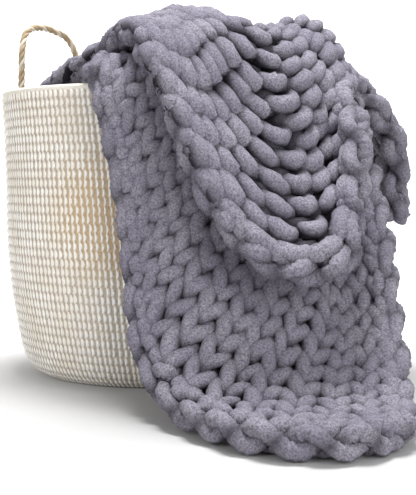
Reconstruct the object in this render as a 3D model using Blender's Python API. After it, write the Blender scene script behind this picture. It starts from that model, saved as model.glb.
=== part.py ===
"""Chunky knit blanket draped over a basket.

The blanket is one sheet of thick knitting, about 0.9 m wide and 1.6 m long. From its first hem, on the
floor in front of the basket, it climbs the basket's front and right, goes over the rim and down into
the basket, comes up at the back, lies over the mouth as a pile with two humps, and ends in a swag that
hangs over the front. All of it is one solid. The basket, open at the top, has one rope handle that
shows. Units are metres, +Z is up, and the origin is the centre of the basket's base on the floor.
"""
import math

import bmesh
import bpy
import numpy as np

MM = 0.001

# Basket, millimetres
BASKET_RADIUS = 213.0      # outside, at the rim
BASKET_HEIGHT = 410.0
WALL = 12.0                # thickness of the coiled wall and of the base
BASKET_SIDES = 56
RIM_STEPS = 4              # facets of the round rim
# The wall's outside from the base up: share of the rim's radius, share of the height
BASKET_PROFILE = (
    ("base edge", 0.704, 0.0),
    ("base round", 0.798, 0.029),
    ("turn", 0.859, 0.098),
    ("belly low", 0.901, 0.207),
    ("belly", 0.934, 0.317),
    ("wall low", 0.958, 0.463),
    ("wall", 0.967, 0.610),
    ("wall high", 0.977, 0.805),
    ("rim", 1.0, 1.0),
)

# Rope handle, millimetres and degrees
ROPE_RADIUS = 4.6
ROPE_LAY = 3               # strands that show as raised turns
ROPE_RAISED = 0.7          # how far a strand stands out
ROPE_TURN = 34.0           # length of one full turn
ROPE_SIDES = 9
ROPE_STEPS = 54
HANDLE_ANGLE = 146.0       # direction of the handle's middle, seen from the basket's axis
HANDLE_HALF_ANGLE = 21.5
HANDLE_RISE = 112.0        # top of the loop over the rim
HANDLE_TUCK = 42.0         # how far each end runs down inside the wall
# Half of the loop over the rim: its place, share of the half angle, share of the rise
HANDLE_SHAPE = (
    ("side low", 0.99, 0.22), ("side middle", 0.98, 0.42), ("side high", 0.96, 0.60),
    ("shoulder", 0.72, 0.90), ("top", 0.30, 1.0),
)
SEAT_GAP = 0.3             # touching pieces stay this far apart

# Blanket, millimetres
WALES = 20                 # columns of stitches across
COURSES = 45               # rows of stitches from hem to hem
COURSE_PITCH = 35.0
HALF_THICKNESS = 19.0
RIB = 2.0                  # how far the middle of a wale stands out on the knit side
DRAPE_GAP = 2.0            # the cloth stays this far off the basket's edges
RIM_GAP = -1.6             # taken off over the rim, where clearing the facets lifts the cloth again
DEPTH_WEIGHT = 0.45        # a stretch that runs away from the front counts as this much of its length
EVEN_SHARE = 0.9           # how far the wales are evened out
LAYER_GAP = 2.5            # between two layers of the cloth that lie on one another
EDGE_ROUND = 0.62          # thickness left at the outer loop of a hem or selvedge
SAMPLES = 420              # points read along each wale before the courses are set out


def ring(radius, height, first, last, count=10):
    """Points at equal angles, in degrees, on a level circle around the basket's axis."""
    angle = np.radians(np.linspace(first, last, count))
    return [(radius * math.cos(a), radius * math.sin(a), height) for a in angle]


def ramp(first, last, count=10):
    """Points at equal steps from one point to another."""
    return [tuple(p) for p in np.linspace(first, last, count)]


# Sections of the blanket in order, each a line across it from the left edge to the right one, as ten
# points that stand 1/9 of the width apart. The panel in front, from its hem to the rim:
HEM_A = ((-96, -72, 395), (-72, -202, 431), (-55, -238, 362), (-32, -246, 250), (-19, -266, 138),
         (-2, -320, 50), (36, -405, 19), (108, -500, 19), (200, -526, 19), (276, -468, 19))
FOOT = ((-97, -68, 388), (-68, -196, 431), (-50, -239, 375), (-15, -248, 285), (6, -268, 180),
        (32, -312, 100), (88, -352, 50), (155, -366, 34), (228, -368, 30), (304, -358, 36))
KNEE = ((-97, -64, 381), (-64, -190, 430), (-46, -238, 387), (3, -247, 315), (34, -266, 230),
        (72, -292, 160), (130, -297, 120), (195, -290, 106), (252, -245, 96), (313, -270, 116))
WAIST = ((-98, -60, 374), (-60, -184, 429), (-41, -236, 398), (18, -245, 345), (56, -256, 290),
         (100, -244, 245), (145, -235, 222), (192, -218, 212), (242, -175, 203), (315, -208, 220))
CHEST = ((-98, -56, 367), (-55, -178, 427), (-35, -232, 409), (30, -240, 378), (72, -234, 350),
         (112, -217, 330), (150, -195, 322), (186, -165, 320), (222, -128, 315), (305, -140, 325))
BROW = ((-99, -52, 360), (-50, -173, 425), (-28, -224, 420), (38, -228, 408), (86, -220, 405),
        (126, -202, 404), (168, -168, 404), (208, -118, 404), (236, -58, 402), (268, -28, 392))
RIM = [(-100, -47, 350), (-44, -160, 424)] + ring(207, 431, -95, 8, 8)
# Inside the basket: down the front, across, and up the back
THROAT = [(-102, -38, 335), (-48, -118, 385)] + ring(160, 378, -92, 10, 8)
SAG = ramp((-112, -8, 296), (84, 62, 288))
LOW_BACK = ring(140, 300, 165, 60)
BACK = ring(160, 384, 155, 45)
# Over the mouth and out over the front as the swag, whose edge is the second hem
BACK_RIM = ((-146, 8, 388), (-118, 45, 412), (-80, 78, 432), (-48, 98, 442), (-16, 108, 448),
            (20, 108, 452), (55, 104, 456), (92, 104, 457), (128, 118, 456), (160, 138, 448))
PILE_BACK = ((-143, -35, 398), (-116, 5, 432), (-72, 32, 462), (-20, 40, 482), (36, 44, 474),
             (90, 44, 464), (140, 45, 480), (182, 56, 484), (222, 82, 470), (262, 112, 432))
PILE_TOP = ((-120, -95, 405), (-85, -75, 440), (-25, -75, 470), (52, -92, 514), (108, -62, 488),
            (150, -24, 468), (200, -20, 500), (246, 5, 494), (306, 25, 418), (354, 45, 303))
CREST = ((-70, -130, 437), (-25, -140, 470), (32, -155, 503), (88, -172, 487), (140, -152, 472),
         (190, -122, 474), (236, -100, 494), (273, -38, 447), (343, -22, 370), (367, -5, 243))
VALLEY_HEAD = ((-52, -162, 452), (-2, -180, 480), (52, -195, 490), (108, -222, 448), (164, -240, 412),
               (218, -190, 430), (254, -150, 446), (279, -65, 431), (349, -46, 356), (366, -28, 230))
SWAG_INNER = ((-35, -195, 468), (15, -220, 474), (70, -245, 440), (128, -275, 350), (186, -290, 256),
              (240, -256, 290), (258, -195, 390), (283, -88, 424), (354, -66, 348), (362, -48, 223))
SWAG_OUTER = ((-8, -242, 462), (30, -278, 420), (80, -305, 338), (140, -340, 225), (212, -340, 205),
              (252, -292, 270), (259, -222, 376), (287, -108, 418), (355, -84, 341), (357, -68, 217))
HEM_B = ((6, -270, 440), (42, -322, 340), (90, -352, 228), (160, -370, 172), (240, -354, 183),
         (257, -312, 262), (258, -245, 366), (290, -126, 410), (354, -97, 334), (353, -84, 213))
SECTIONS = (HEM_A, FOOT, KNEE, WAIST, CHEST, BROW, RIM, THROAT, SAG, LOW_BACK, BACK, BACK_RIM,
            PILE_BACK, PILE_TOP, CREST, VALLEY_HEAD, SWAG_INNER, SWAG_OUTER, HEM_B)
RIM_SECTION = 6
PILE_SECTION = 12


def catmull_rom(points, knots, where):
    """Smooth curve through points (n, ...) at the given knots, read at each value of `where`."""
    points = np.asarray(points, float)
    steps = np.diff(knots).reshape((-1,) + (1,) * (points.ndim - 1))
    slopes = np.diff(points, axis=0) / steps
    inner = (slopes[:-1] * steps[1:] + slopes[1:] * steps[:-1]) / (steps[1:] + steps[:-1])
    tangents = np.concatenate([slopes[:1], inner, slopes[-1:]])
    index = np.clip(np.searchsorted(knots, where, side="right") - 1, 0, len(knots) - 2)
    length = (knots[index + 1] - knots[index])
    t = ((where - knots[index]) / length).reshape((-1,) + (1,) * (points.ndim - 1))
    length = length.reshape(t.shape)
    return ((2 * t**3 - 3 * t**2 + 1) * points[index] + (t**3 - 2 * t**2 + t) * length * tangents[index]
            + (3 * t**2 - 2 * t**3) * points[index + 1] + (t**3 - t**2) * length * tangents[index + 1])


def basket_outline():
    """The wall's outside, as (radius, height) in millimetres from the base up."""
    shares = np.array([row[1:] for row in BASKET_PROFILE])
    coarse = shares * (BASKET_RADIUS, BASKET_HEIGHT)
    knots = np.arange(len(coarse), dtype=float)
    return catmull_rom(coarse, knots, np.linspace(0, len(coarse) - 1, 2 * len(coarse) - 1))


def clear_of_basket(points):
    """Push the cloth's middle surface off the basket's wall and the floor, to the side it is on."""
    outline = basket_outline()
    middle = outline - (WALL / 2, 0)
    middle[-1, 1] -= WALL / 2
    radius = np.hypot(points[..., 0], points[..., 1])
    flat = np.stack([radius, points[..., 2]], -1)
    start, end = middle[:-1], middle[1:]
    along = end - start
    share = ((flat[..., None, :] - start) * along).sum(-1) / (along**2).sum(-1)
    nearest = start + np.clip(share, 0, 1)[..., None] * along
    away = flat[..., None, :] - nearest
    distance = np.linalg.norm(away, axis=-1)
    best = distance.argmin(-1)[..., None]
    away = np.take_along_axis(away, best[..., None], -2)[..., 0, :]
    distance = np.take_along_axis(distance, best, -1)[..., 0]
    over = np.clip((flat[..., 1] - middle[-1, 1]) / (WALL / 2), 0, 1)
    gap = DRAPE_GAP + (RIM_GAP - DRAPE_GAP) * over
    wanted = WALL / 2 + HALF_THICKNESS + RIB + gap
    push = np.maximum(wanted - distance, 0) / np.maximum(distance, 1e-6)
    flat = flat + away * push[..., None]
    scale = flat[..., 0] / np.maximum(radius, 1e-6)
    return np.stack([points[..., 0] * scale, points[..., 1] * scale,
                     np.maximum(flat[..., 1], HALF_THICKNESS + RIB)], -1)


def drape(columns, rows):
    """The cloth's middle surface at each column (0..WALES) and row (0..COURSES), millimetres.

    Near either hem the courses keep COURSE_PITCH. The stretch between, inside the basket, takes up the
    rest of each wale's length.
    """
    net = np.array(SECTIONS, float)
    stations = np.arange(net.shape[1]) * WALES / (net.shape[1] - 1)
    net = catmull_rom(net.transpose(1, 0, 2), stations, np.asarray(columns, float)).transpose(1, 0, 2)
    grid = np.zeros((len(rows), len(columns), 3))
    for column in range(len(columns)):
        line = net[:, column]
        knots = np.concatenate([[0], np.cumsum(np.linalg.norm(np.diff(line, axis=0), axis=1)**0.75)])
        dense_knots = np.linspace(0, knots[-1], SAMPLES)
        dense = clear_of_basket(catmull_rom(line, knots, dense_knots))
        length = np.concatenate([[0], np.cumsum(np.linalg.norm(np.diff(dense, axis=0), axis=1))])
        to_rim = np.interp(knots[RIM_SECTION], dense_knots, length)
        to_pile = np.interp(knots[PILE_SECTION], dense_knots, length)
        marks = (0, to_rim / COURSE_PITCH, COURSES - (length[-1] - to_pile) / COURSE_PITCH, COURSES)
        wanted = np.interp(rows, marks, (0, to_rim, to_pile, length[-1]))
        for axis in range(3):
            grid[:, column, axis] = np.interp(wanted, length, dense[:, axis])
    return grid


def clear_between(grid):
    """Clear the basket halfway between neighbouring points too, so that no straight facet cuts it."""
    grid = clear_of_basket(grid)
    rows, columns = grid.shape[:2]
    for down, over in ((1, 0), (0, 1), (1, 1)):
        halfway = (grid[:rows - down, :columns - over] + grid[down:, over:]) / 2
        moved = clear_of_basket(halfway) - halfway
        grid[:rows - down, :columns - over] += moved
        grid[down:, over:] += moved
    return grid


def smooth(field, times):
    """Even a field on the grid out towards its neighbours."""
    for _ in range(times):
        wide = np.pad(field, ((1, 1), (1, 1), (0, 0)), mode="edge")
        around = (wide[:-2, 1:-1] + wide[2:, 1:-1] + wide[1:-1, :-2] + wide[1:-1, 2:]) / 4
        field = (field + around) / 2
    return field


def surface_normals(grid):
    """Unit normals of a surface that is a grid of points."""
    return unit(np.cross(np.gradient(grid, axis=1), np.gradient(grid, axis=0)))


def part_layers(grid, times):
    """Push layers that lie on one another apart until the cloth's thickness fits between them.

    Two points belong to different layers where the way between them along the cloth is much longer
    than the straight one, and both surfaces face that straight line.
    """
    rows, columns = np.divmod(np.arange(grid.shape[0] * grid.shape[1]), grid.shape[1])
    wanted = 2 * (HALF_THICKNESS + RIB) + LAYER_GAP
    for _ in range(times):
        flat = grid.reshape(-1, 3)
        normals = surface_normals(grid).reshape(-1, 3)
        along = np.pad(np.linalg.norm(np.diff(grid, axis=0), axis=2), ((1, 0), (0, 0))).cumsum(0)
        across = np.pad(np.linalg.norm(np.diff(grid, axis=1), axis=2), ((0, 0), (1, 0))).cumsum(1)
        push = np.zeros_like(flat)
        for point, (row, column) in enumerate(zip(rows, columns)):
            gap = flat[point] - flat
            near = np.flatnonzero(np.abs(gap).max(1) < wanted)
            gap = gap[near]
            distance = np.maximum(np.linalg.norm(gap, axis=1), 1e-6)
            way = (np.abs(along[row, column] - along[rows[near], column])
                   + np.abs(across[rows[near], column] - across[rows[near], columns[near]]))
            facing = np.minimum(np.abs(gap @ normals[point]), np.abs((gap * normals[near]).sum(1)))
            other = (distance < wanted) & (way > 1.6 * distance + 8) & (facing > 0.55 * distance)
            if other.any():
                closest = np.flatnonzero(other)[distance[other].argmin()]
                push[point] = gap[closest] / distance[closest] * (wanted - distance[closest]) * 0.6
        grid = clear_between(grid + smooth(push.reshape(grid.shape), 1))
    return grid


def even_wales(grid, share):
    """Each row's points slide along it, by a share of the way, towards even spacing as seen from the front."""
    count = grid.shape[1]
    steps = np.diff(grid, axis=1) * (1, DEPTH_WEIGHT, 1)
    length = np.pad(np.linalg.norm(steps, axis=2), ((0, 0), (1, 0))).cumsum(1)
    even = np.linspace(0, 1, count) * length[:, -1:]
    wanted = length + (even - length) * share
    near = np.clip((length[:, :, None] <= wanted[:, None, :]).sum(1) - 1, 0, count - 2)
    start = np.take_along_axis(length, near, 1)
    part = (wanted - start) / (np.take_along_axis(length, near + 1, 1) - start)
    low = np.take_along_axis(grid, near[..., None], 1)
    high = np.take_along_axis(grid, near[..., None] + 1, 1)
    return low + (high - low) * part[..., None]


def unit(vectors):
    """The same directions at length one."""
    return vectors / np.maximum(np.linalg.norm(vectors, axis=-1, keepdims=True), 1e-9)


def new_material(name, colour, roughness):
    """A Principled material with the piece's own colour."""
    material = bpy.data.materials.new(name)
    material.use_nodes = True
    shader = material.node_tree.nodes["Principled BSDF"]
    shader.inputs["Base Color"].default_value = (*colour, 1.0)
    shader.inputs["Roughness"].default_value = roughness
    return material


def new_object(name, vertices, faces, material):
    """A closed object from points in millimetres and faces, with its faces turned outwards."""
    mesh = bpy.data.meshes.new(name)
    mesh.from_pydata([tuple(p) for p in np.asarray(vertices) * MM], [], faces)
    shell = bmesh.new()
    shell.from_mesh(mesh)
    bmesh.ops.recalc_face_normals(shell, faces=shell.faces)
    shell.to_mesh(mesh)
    shell.free()
    mesh.materials.append(material)
    mesh.shade_smooth()
    mesh.set_sharp_from_angle(angle=math.radians(50))
    made = bpy.data.objects.new(name, mesh)
    bpy.context.scene.collection.objects.link(made)
    return made


def grid_faces(rows, columns, first=0, flipped=False):
    """Triangles of a grid of points that is stored row after row.

    The split runs the way that clear_between clears, so that no triangle cuts the rim.
    """
    faces = []
    for row in range(rows - 1):
        for column in range(columns - 1):
            corner = first + row * columns + column
            far = corner + columns + 1
            for triangle in ((corner, corner + 1, far), (corner, far, corner + columns)):
                faces.append(triangle[::-1] if flipped else triangle)
    return faces


def build_blanket():
    """One thick sheet: the middle surface offset to both sides, with a raised rib on every wale."""
    columns = np.arange(2 * WALES + 1) / 2
    rows = np.arange(COURSES + 1, dtype=float)
    parted = part_layers(clear_of_basket(smooth(drape(columns, rows), 2)), 12)
    middle = clear_between(clear_between(clear_between(even_wales(parted, EVEN_SHARE))))
    normal = surface_normals(middle)
    at_edge = np.zeros(middle.shape[:2], bool)
    at_edge[[0, -1]] = True
    at_edge[:, [0, -1]] = True
    half = np.where(at_edge, HALF_THICKNESS * EDGE_ROUND, HALF_THICKNESS)[..., None]
    rib = np.where(np.arange(len(columns)) % 2 == 1, RIB, -RIB)[None, :, None]
    rib = np.where(at_edge[..., None], 0, rib)
    sides = [middle - normal * (half + rib), middle + normal * (half + rib)]
    vertices = np.concatenate([side.reshape(-1, 3) for side in sides])
    vertices[:, 2] = np.maximum(vertices[:, 2], 0)
    count, width = middle.shape[:2]
    under = count * width
    faces = grid_faces(count, width) + grid_faces(count, width, under, flipped=True)
    rim = ([r * width for r in range(count)] + [(count - 1) * width + c for c in range(1, width)]
           + [r * width + width - 1 for r in range(count - 2, -1, -1)] + list(range(width - 2, 0, -1)))
    for here, there in zip(rim, rim[1:] + rim[:1]):
        faces.append((here, there, there + under, here + under))
    return new_object("blanket", vertices, faces, new_material("chenille yarn", (0.36, 0.33, 0.42), 0.9))


def build_basket():
    """A turned shell: up the outside, over the round rim and down to the inside of the base."""
    outside = basket_outline()
    outside[-1, 1] -= WALL / 2
    inside = outside[::-2] - (WALL, 0)
    inside = inside[inside[:, 1] > 2.5 * WALL]
    half_turn = np.linspace(0, math.pi, RIM_STEPS + 1)[1:-1, None]
    top = outside[-1] - (WALL / 2, 0) + WALL / 2 * np.hstack([np.cos(half_turn), np.sin(half_turn)])
    floor = [(inside[-1, 0] - 0.7 * WALL, WALL * 1.3), (inside[-1, 0] - 2 * WALL, WALL)]
    profile = np.concatenate([outside, top, inside, floor])
    vertices = [(0, 0, 0), (0, 0, WALL)]
    turn = 2 * math.pi / BASKET_SIDES
    for side in range(BASKET_SIDES):
        cosine, sine = math.cos(side * turn), math.sin(side * turn)
        vertices += [(r * cosine, r * sine, z) for r, z in profile]
    faces = []
    size = len(profile)
    for side in range(BASKET_SIDES):
        here = 2 + side * size
        there = 2 + (side + 1) % BASKET_SIDES * size
        faces.append((0, there, here))
        for step in range(size - 1):
            faces.append((here + step, there + step, there + step + 1, here + step + 1))
        faces.append((1, here + size - 1, there + size - 1))
    return new_object("basket", vertices, faces, new_material("cotton rope", (0.80, 0.74, 0.64), 0.85))


def handle_route():
    """The rope's centre line: up the inside of the wall, over in a loop, and down again."""
    inner = BASKET_RADIUS - WALL - ROPE_RADIUS - ROPE_RAISED - SEAT_GAP
    middle = math.radians(HANDLE_ANGLE)
    half = math.radians(HANDLE_HALF_ANGLE)
    outline = basket_outline()
    route = []
    for depth in (HANDLE_TUCK, HANDLE_TUCK / 2, 0):
        height = BASKET_HEIGHT - depth
        radius = inner - BASKET_RADIUS + np.interp(height, outline[:, 1], outline[:, 0])
        route.append((middle + half, radius, height))
    for _, angle_share, rise_share in HANDLE_SHAPE:
        route.append((middle + half * angle_share, inner, BASKET_HEIGHT + HANDLE_RISE * rise_share))
    mirrored = [(2 * middle - angle, radius, height) for angle, radius, height in route[::-1]]
    points = np.array([(r * math.cos(a), r * math.sin(a), z) for a, r, z in route + mirrored])
    knots = np.concatenate([[0], np.cumsum(np.linalg.norm(np.diff(points, axis=0), axis=1))])
    return catmull_rom(points, knots, np.linspace(0, knots[-1], ROPE_STEPS))


def build_handle():
    """A twisted rope: a lobed outline carried along the route, turning as it goes."""
    route = handle_route()
    length = np.concatenate([[0], np.cumsum(np.linalg.norm(np.diff(route, axis=0), axis=1))])
    forward = unit(np.gradient(route, axis=0))
    outward = unit(np.array([math.cos(math.radians(HANDLE_ANGLE)), math.sin(math.radians(HANDLE_ANGLE)), 0]))
    side = unit(outward - forward * (forward @ outward)[:, None])
    up = np.cross(forward, side)
    angle = np.linspace(0, 2 * math.pi, ROPE_SIDES, endpoint=False)[None, :]
    twist = (length / ROPE_TURN * 2 * math.pi)[:, None]
    radius = ROPE_RADIUS + ROPE_RAISED * np.cos(ROPE_LAY * (angle - twist / ROPE_LAY))
    spread = (np.cos(angle)[..., None] * side[:, None] + np.sin(angle)[..., None] * up[:, None])
    vertices = (route[:, None] + radius[..., None] * spread).reshape(-1, 3)
    faces = []
    for step in range(len(route) - 1):
        for corner in range(ROPE_SIDES):
            next_corner = (corner + 1) % ROPE_SIDES
            here = step * ROPE_SIDES
            faces.append((here + corner, here + next_corner, here + ROPE_SIDES + next_corner,
                          here + ROPE_SIDES + corner))
    faces.append(tuple(range(ROPE_SIDES))[::-1])
    faces.append(tuple(range((len(route) - 1) * ROPE_SIDES, len(route) * ROPE_SIDES)))
    return new_object("handle_left", vertices, faces, new_material("sisal rope", (0.70, 0.56, 0.40), 0.9))


def main():
    for old in list(bpy.data.objects):
        bpy.data.objects.remove(old)
    build_basket()
    build_handle()
    build_blanket()


if __name__ == "__main__":
    main()
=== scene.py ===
# %% [markdown]
# # Chunky knit blanket draped over a basket
#
# The blanket is hand-knitted from one very thick chenille yarn, about 22 mm across, in plain
# stocking stitch: one face shows columns of V shapes, the other rows of round bumps. It climbs from
# the floor up the front of the basket, goes in over the rim, comes out at the back and ends in a
# swag over the front. Every loop of the yarn is modelled here, on the same folds as the solid.

# %% Load the fixed frame
import math

import bpy
import numpy as np
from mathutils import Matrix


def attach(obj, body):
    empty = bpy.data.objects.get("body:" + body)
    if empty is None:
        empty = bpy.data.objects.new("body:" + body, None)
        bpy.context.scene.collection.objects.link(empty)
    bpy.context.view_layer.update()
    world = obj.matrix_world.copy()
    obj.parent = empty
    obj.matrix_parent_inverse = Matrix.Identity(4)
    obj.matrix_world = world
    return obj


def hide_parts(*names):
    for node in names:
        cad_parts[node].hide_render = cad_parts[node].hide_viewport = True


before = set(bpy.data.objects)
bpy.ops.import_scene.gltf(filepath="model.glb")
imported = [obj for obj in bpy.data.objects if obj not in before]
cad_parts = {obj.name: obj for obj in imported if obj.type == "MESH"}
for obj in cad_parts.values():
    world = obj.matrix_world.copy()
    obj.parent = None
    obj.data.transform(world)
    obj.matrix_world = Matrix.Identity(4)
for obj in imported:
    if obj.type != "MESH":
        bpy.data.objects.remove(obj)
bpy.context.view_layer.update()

MM = 0.001
RANDOM = np.random.default_rng(11)


def unit(vectors):
    """Each vector divided by its length."""
    return vectors / np.maximum(np.linalg.norm(vectors, axis=-1, keepdims=True), 1e-9)


# %% [markdown]
# ## The drape
#
# A cloth's shape could come from a simulation, but thick knitting hardly stretches and keeps the
# folds that a hand gives it. So the folds are placed one by one: each section below is a line across
# the blanket from its left edge to its right one, ten points in millimetres, and the sections
# follow each other from the first hem, on the floor, to the second one, on the swag.

# %% Sizes of the drape, millimetres
BASKET_RADIUS = 213.0
BASKET_HEIGHT = 410.0
WALL = 12.0
WALES = 20
COURSES = 45
COURSE_PITCH = 35.0
HALF_THICKNESS = 19.0
RIB = 2.0                   # how far a wale's rib stands out of the solid
DRAPE_GAP = 2.0             # left between the cloth and the wall
RIM_GAP = -1.6              # and at the rim, where the cloth's weight presses it on
LAYER_GAP = 2.5             # left between two layers
FAR_ALONG = (1.6, 8.0)      # another layer is this many times further along the cloth, plus 8 mm
FACING = 0.55               # and this share of the way to it is square to the cloth
PART_SHARE = 0.6            # of the missing distance, made up in one round
DEPTH_WEIGHT = 0.45         # a stretch that runs to the back counts as this much of its length
EVEN_SHARE = 0.9            # how far the wales are evened out
SAMPLES = 420               # points on one wale when it is measured
BASKET_PROFILE = (
    ("base edge", 0.704, 0.0), ("base round", 0.798, 0.029), ("turn", 0.859, 0.098),
    ("belly low", 0.901, 0.207), ("belly", 0.934, 0.317), ("wall low", 0.958, 0.463),
    ("wall", 0.967, 0.610), ("wall high", 0.977, 0.805), ("rim", 1.0, 1.0),
)


def ring(radius, height, first, last, count=10):
    """Points at equal angles on a level circle: radius times cosine and sine, one height."""
    angle = np.radians(np.linspace(first, last, count))
    return np.stack([radius * np.cos(angle), radius * np.sin(angle), np.full(count, height)], -1)


def ramp(first, last, count=10):
    """Points at equal steps from one point to another."""
    return np.linspace(first, last, count)


# %% Sections of the blanket
# The panel in front, from its hem to the rim
HEM_A = ((-96, -72, 395), (-72, -202, 431), (-55, -238, 362), (-32, -246, 250), (-19, -266, 138),
         (-2, -320, 50), (36, -405, 19), (108, -500, 19), (200, -526, 19), (276, -468, 19))
FOOT = ((-97, -68, 388), (-68, -196, 431), (-50, -239, 375), (-15, -248, 285), (6, -268, 180),
        (32, -312, 100), (88, -352, 50), (155, -366, 34), (228, -368, 30), (304, -358, 36))
KNEE = ((-97, -64, 381), (-64, -190, 430), (-46, -238, 387), (3, -247, 315), (34, -266, 230),
        (72, -292, 160), (130, -297, 120), (195, -290, 106), (252, -245, 96), (313, -270, 116))
WAIST = ((-98, -60, 374), (-60, -184, 429), (-41, -236, 398), (18, -245, 345), (56, -256, 290),
         (100, -244, 245), (145, -235, 222), (192, -218, 212), (242, -175, 203), (315, -208, 220))
CHEST = ((-98, -56, 367), (-55, -178, 427), (-35, -232, 409), (30, -240, 378), (72, -234, 350),
         (112, -217, 330), (150, -195, 322), (186, -165, 320), (222, -128, 315), (305, -140, 325))
BROW = ((-99, -52, 360), (-50, -173, 425), (-28, -224, 420), (38, -228, 408), (86, -220, 405),
        (126, -202, 404), (168, -168, 404), (208, -118, 404), (236, -58, 402), (268, -28, 392))
RIM = [(-100, -47, 350), (-44, -160, 424), *ring(207, 431, -95, 8, 8)]
# Inside the basket: down the front, across, and up the back
THROAT = [(-102, -38, 335), (-48, -118, 385), *ring(160, 378, -92, 10, 8)]
SAG = ramp((-112, -8, 296), (84, 62, 288))
LOW_BACK = ring(140, 300, 165, 60)
BACK = ring(160, 384, 155, 45)
# Over the mouth and out over the front as the swag, whose edge is the second hem
BACK_RIM = ((-146, 8, 388), (-118, 45, 412), (-80, 78, 432), (-48, 98, 442), (-16, 108, 448),
            (20, 108, 452), (55, 104, 456), (92, 104, 457), (128, 118, 456), (160, 138, 448))
PILE_BACK = ((-143, -35, 398), (-116, 5, 432), (-72, 32, 462), (-20, 40, 482), (36, 44, 474),
             (90, 44, 464), (140, 45, 480), (182, 56, 484), (222, 82, 470), (262, 112, 432))
PILE_TOP = ((-120, -95, 405), (-85, -75, 440), (-25, -75, 470), (52, -92, 514), (108, -62, 488),
            (150, -24, 468), (200, -20, 500), (246, 5, 494), (306, 25, 418), (354, 45, 303))
CREST = ((-70, -130, 437), (-25, -140, 470), (32, -155, 503), (88, -172, 487), (140, -152, 472),
         (190, -122, 474), (236, -100, 494), (273, -38, 447), (343, -22, 370), (367, -5, 243))
VALLEY_HEAD = ((-52, -162, 452), (-2, -180, 480), (52, -195, 490), (108, -222, 448), (164, -240, 412),
               (218, -190, 430), (254, -150, 446), (279, -65, 431), (349, -46, 356), (366, -28, 230))
SWAG_INNER = ((-35, -195, 468), (15, -220, 474), (70, -245, 440), (128, -275, 350), (186, -290, 256),
              (240, -256, 290), (258, -195, 390), (283, -88, 424), (354, -66, 348), (362, -48, 223))
SWAG_OUTER = ((-8, -242, 462), (30, -278, 420), (80, -305, 338), (140, -340, 225), (212, -340, 205),
              (252, -292, 270), (259, -222, 376), (287, -108, 418), (355, -84, 341), (357, -68, 217))
HEM_B = ((6, -270, 440), (42, -322, 340), (90, -352, 228), (160, -370, 172), (240, -354, 183),
         (257, -312, 262), (258, -245, 366), (290, -126, 410), (354, -97, 334), (353, -84, 213))
SECTIONS = (HEM_A, FOOT, KNEE, WAIST, CHEST, BROW, RIM, THROAT, SAG, LOW_BACK, BACK, BACK_RIM,
            PILE_BACK, PILE_TOP, CREST, VALLEY_HEAD, SWAG_INNER, SWAG_OUTER, HEM_B)
RIM_SECTION = 6
PILE_SECTION = 12


# %% [markdown]
# Smooth curves go through the sections both ways. Then the cloth is laid: whatever is too near the
# basket or the floor moves off it, and layers that lie on one another part by the cloth's own
# thickness. Near both hems the rows of stitches keep their true spacing.

# %% Curves through points
def curve_through(points, knots, where):
    """Cubic through each point, its slope there the mean of the slopes on both sides."""
    points = np.asarray(points, float)
    steps = np.diff(knots).reshape((-1,) + (1,) * (points.ndim - 1))
    slopes = np.diff(points, axis=0) / steps
    inner = (slopes[:-1] * steps[1:] + slopes[1:] * steps[:-1]) / (steps[1:] + steps[:-1])
    tangents = np.concatenate([slopes[:1], inner, slopes[-1:]])
    index = np.clip(np.searchsorted(knots, where, side="right") - 1, 0, len(knots) - 2)
    length = knots[index + 1] - knots[index]
    t = ((where - knots[index]) / length).reshape((-1,) + (1,) * (points.ndim - 1))
    length = length.reshape(t.shape)
    return ((2 * t**3 - 3 * t**2 + 1) * points[index] + (t**3 - 2 * t**2 + t) * length * tangents[index]
            + (3 * t**2 - 2 * t**3) * points[index + 1] + (t**3 - t**2) * length * tangents[index + 1])


def basket_outline():
    """The wall's outside from the base up, as radius and height."""
    shares = np.array([row[1:] for row in BASKET_PROFILE])
    coarse = shares * (BASKET_RADIUS, BASKET_HEIGHT)
    knots = np.arange(len(coarse), dtype=float)
    return curve_through(coarse, knots, np.linspace(0, len(coarse) - 1, 2 * len(coarse) - 1))


# %% Keep the cloth off the basket and the floor
def clear_of_basket(points):
    """Distance to the wall's middle line, raised to half the wall plus half the cloth."""
    middle = basket_outline() - (WALL / 2, 0)
    middle[-1, 1] -= WALL / 2
    radius = np.hypot(points[..., 0], points[..., 1])
    flat = np.stack([radius, points[..., 2]], -1)
    start, along = middle[:-1], np.diff(middle, axis=0)
    share = ((flat[..., None, :] - start) * along).sum(-1) / (along**2).sum(-1)
    away = flat[..., None, :] - (start + np.clip(share, 0, 1)[..., None] * along)
    distance = np.linalg.norm(away, axis=-1)
    best = distance.argmin(-1)[..., None]
    away = np.take_along_axis(away, best[..., None], -2)[..., 0, :]
    distance = np.take_along_axis(distance, best, -1)[..., 0]
    over = np.clip((flat[..., 1] - middle[-1, 1]) / (WALL / 2), 0, 1)
    wanted = WALL / 2 + HALF_THICKNESS + RIB + DRAPE_GAP + (RIM_GAP - DRAPE_GAP) * over
    push = np.maximum(wanted - distance, 0) / np.maximum(distance, 1e-6)
    flat = flat + away * push[..., None]
    scale = flat[..., 0] / np.maximum(radius, 1e-6)
    return np.stack([points[..., 0] * scale, points[..., 1] * scale,
                     np.maximum(flat[..., 1], HALF_THICKNESS + RIB)], -1)


def clear_between(grid):
    """The same clearance at the points halfway between neighbours."""
    grid = clear_of_basket(grid)
    rows, columns = grid.shape[:2]
    for down, over in ((1, 0), (0, 1), (1, 1)):
        halfway = (grid[:rows - down, :columns - over] + grid[down:, over:]) / 2
        moved = clear_of_basket(halfway) - halfway
        grid[:rows - down, :columns - over] += moved
        grid[down:, over:] += moved
    return grid


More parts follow.
